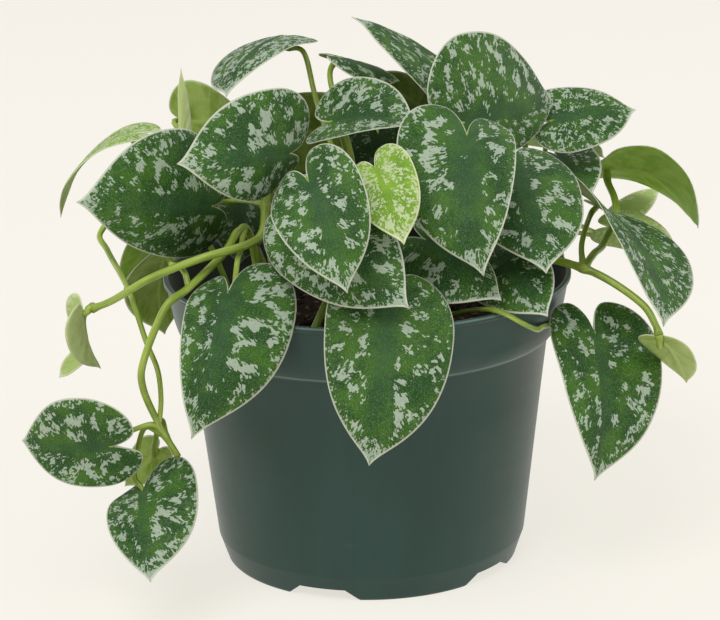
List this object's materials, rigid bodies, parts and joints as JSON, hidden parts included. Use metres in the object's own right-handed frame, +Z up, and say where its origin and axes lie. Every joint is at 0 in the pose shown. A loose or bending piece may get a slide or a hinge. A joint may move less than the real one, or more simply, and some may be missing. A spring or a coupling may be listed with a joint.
{
  "type": "potted satin pothos",
  "caption": "Trailing satin pothos with heart-shaped, silver-splashed leaves, growing in a round nursery pot that stands on its foot ring.",
  "frame": {"origin": "centre of the pot's foot, on the surface that it stands on", "axes": "+Z up along the pot's axis, -Y towards the front that the picture shows, +X to that view's right"},
  "size_m": [0.2534, 0.2063, 0.2013],
  "materials": {
    "pot_plastic": "dark green, injection moulded, satin",
    "potting_soil": "dark peat and bark, loose and dull",
    "stem_green": "yellow-green, fleshy, satin",
    "leaf_satin": "dark green with silver splashes and a pale margin, satin",
    "leaf_young": "pale yellow-green, satin"
  },
  "bodies": {
    "root": {"pot": "pot_plastic", "soil": "potting_soil", "vine_a": "stem_green", "leaf_a1": "leaf_satin", "leaf_a2": "leaf_satin", "leaf_a3": "leaf_young", "leaf_a4": "leaf_young", "vine_b": "stem_green", "leaf_b1": "leaf_satin", "leaf_b2": "leaf_satin", "leaf_b3": "leaf_satin", "leaf_b4": "leaf_satin", "leaf_b5": "leaf_satin", "leaf_b6": "leaf_young", "leaf_b7": "leaf_satin", "vine_c": "stem_green", "leaf_c1": "leaf_satin", "leaf_c2": "leaf_satin", "leaf_c3": "leaf_young", "vine_d": "stem_green", "leaf_d1": "leaf_satin", "leaf_d2": "leaf_satin", "leaf_d3": "leaf_satin", "leaf_d4": "leaf_satin", "vine_e": "stem_green", "leaf_e1": "leaf_satin", "leaf_e2": "leaf_satin", "leaf_e3": "leaf_young", "vine_f": "stem_green", "leaf_f1": "leaf_satin", "leaf_f2": "leaf_satin", "leaf_f3": "leaf_satin", "leaf_f4": "leaf_satin", "leaf_f5": "leaf_satin", "vine_g": "stem_green", "leaf_g1": "leaf_satin", "leaf_g2": "leaf_satin", "leaf_g3": "leaf_satin", "leaf_g4": "leaf_satin", "vine_h": "stem_green", "leaf_h1": "leaf_satin", "leaf_h2": "leaf_satin", "leaf_h3": "leaf_young", "leaf_h4": "leaf_young", "vine_i": "stem_green", "leaf_i1": "leaf_satin", "leaf_i2": "leaf_young", "leaf_i3": "leaf_satin", "vine_j": "stem_green", "leaf_j1": "leaf_satin", "leaf_j2": "leaf_satin", "leaf_j3": "leaf_satin", "vine_k": "stem_green", "leaf_k1": "leaf_satin", "leaf_k2": "leaf_satin", "leaf_k3": "leaf_satin", "leaf_k4": "leaf_satin", "vine_l": "stem_green", "leaf_l1": "leaf_satin", "leaf_l2": "leaf_satin"}
  },
  "joints": []
}
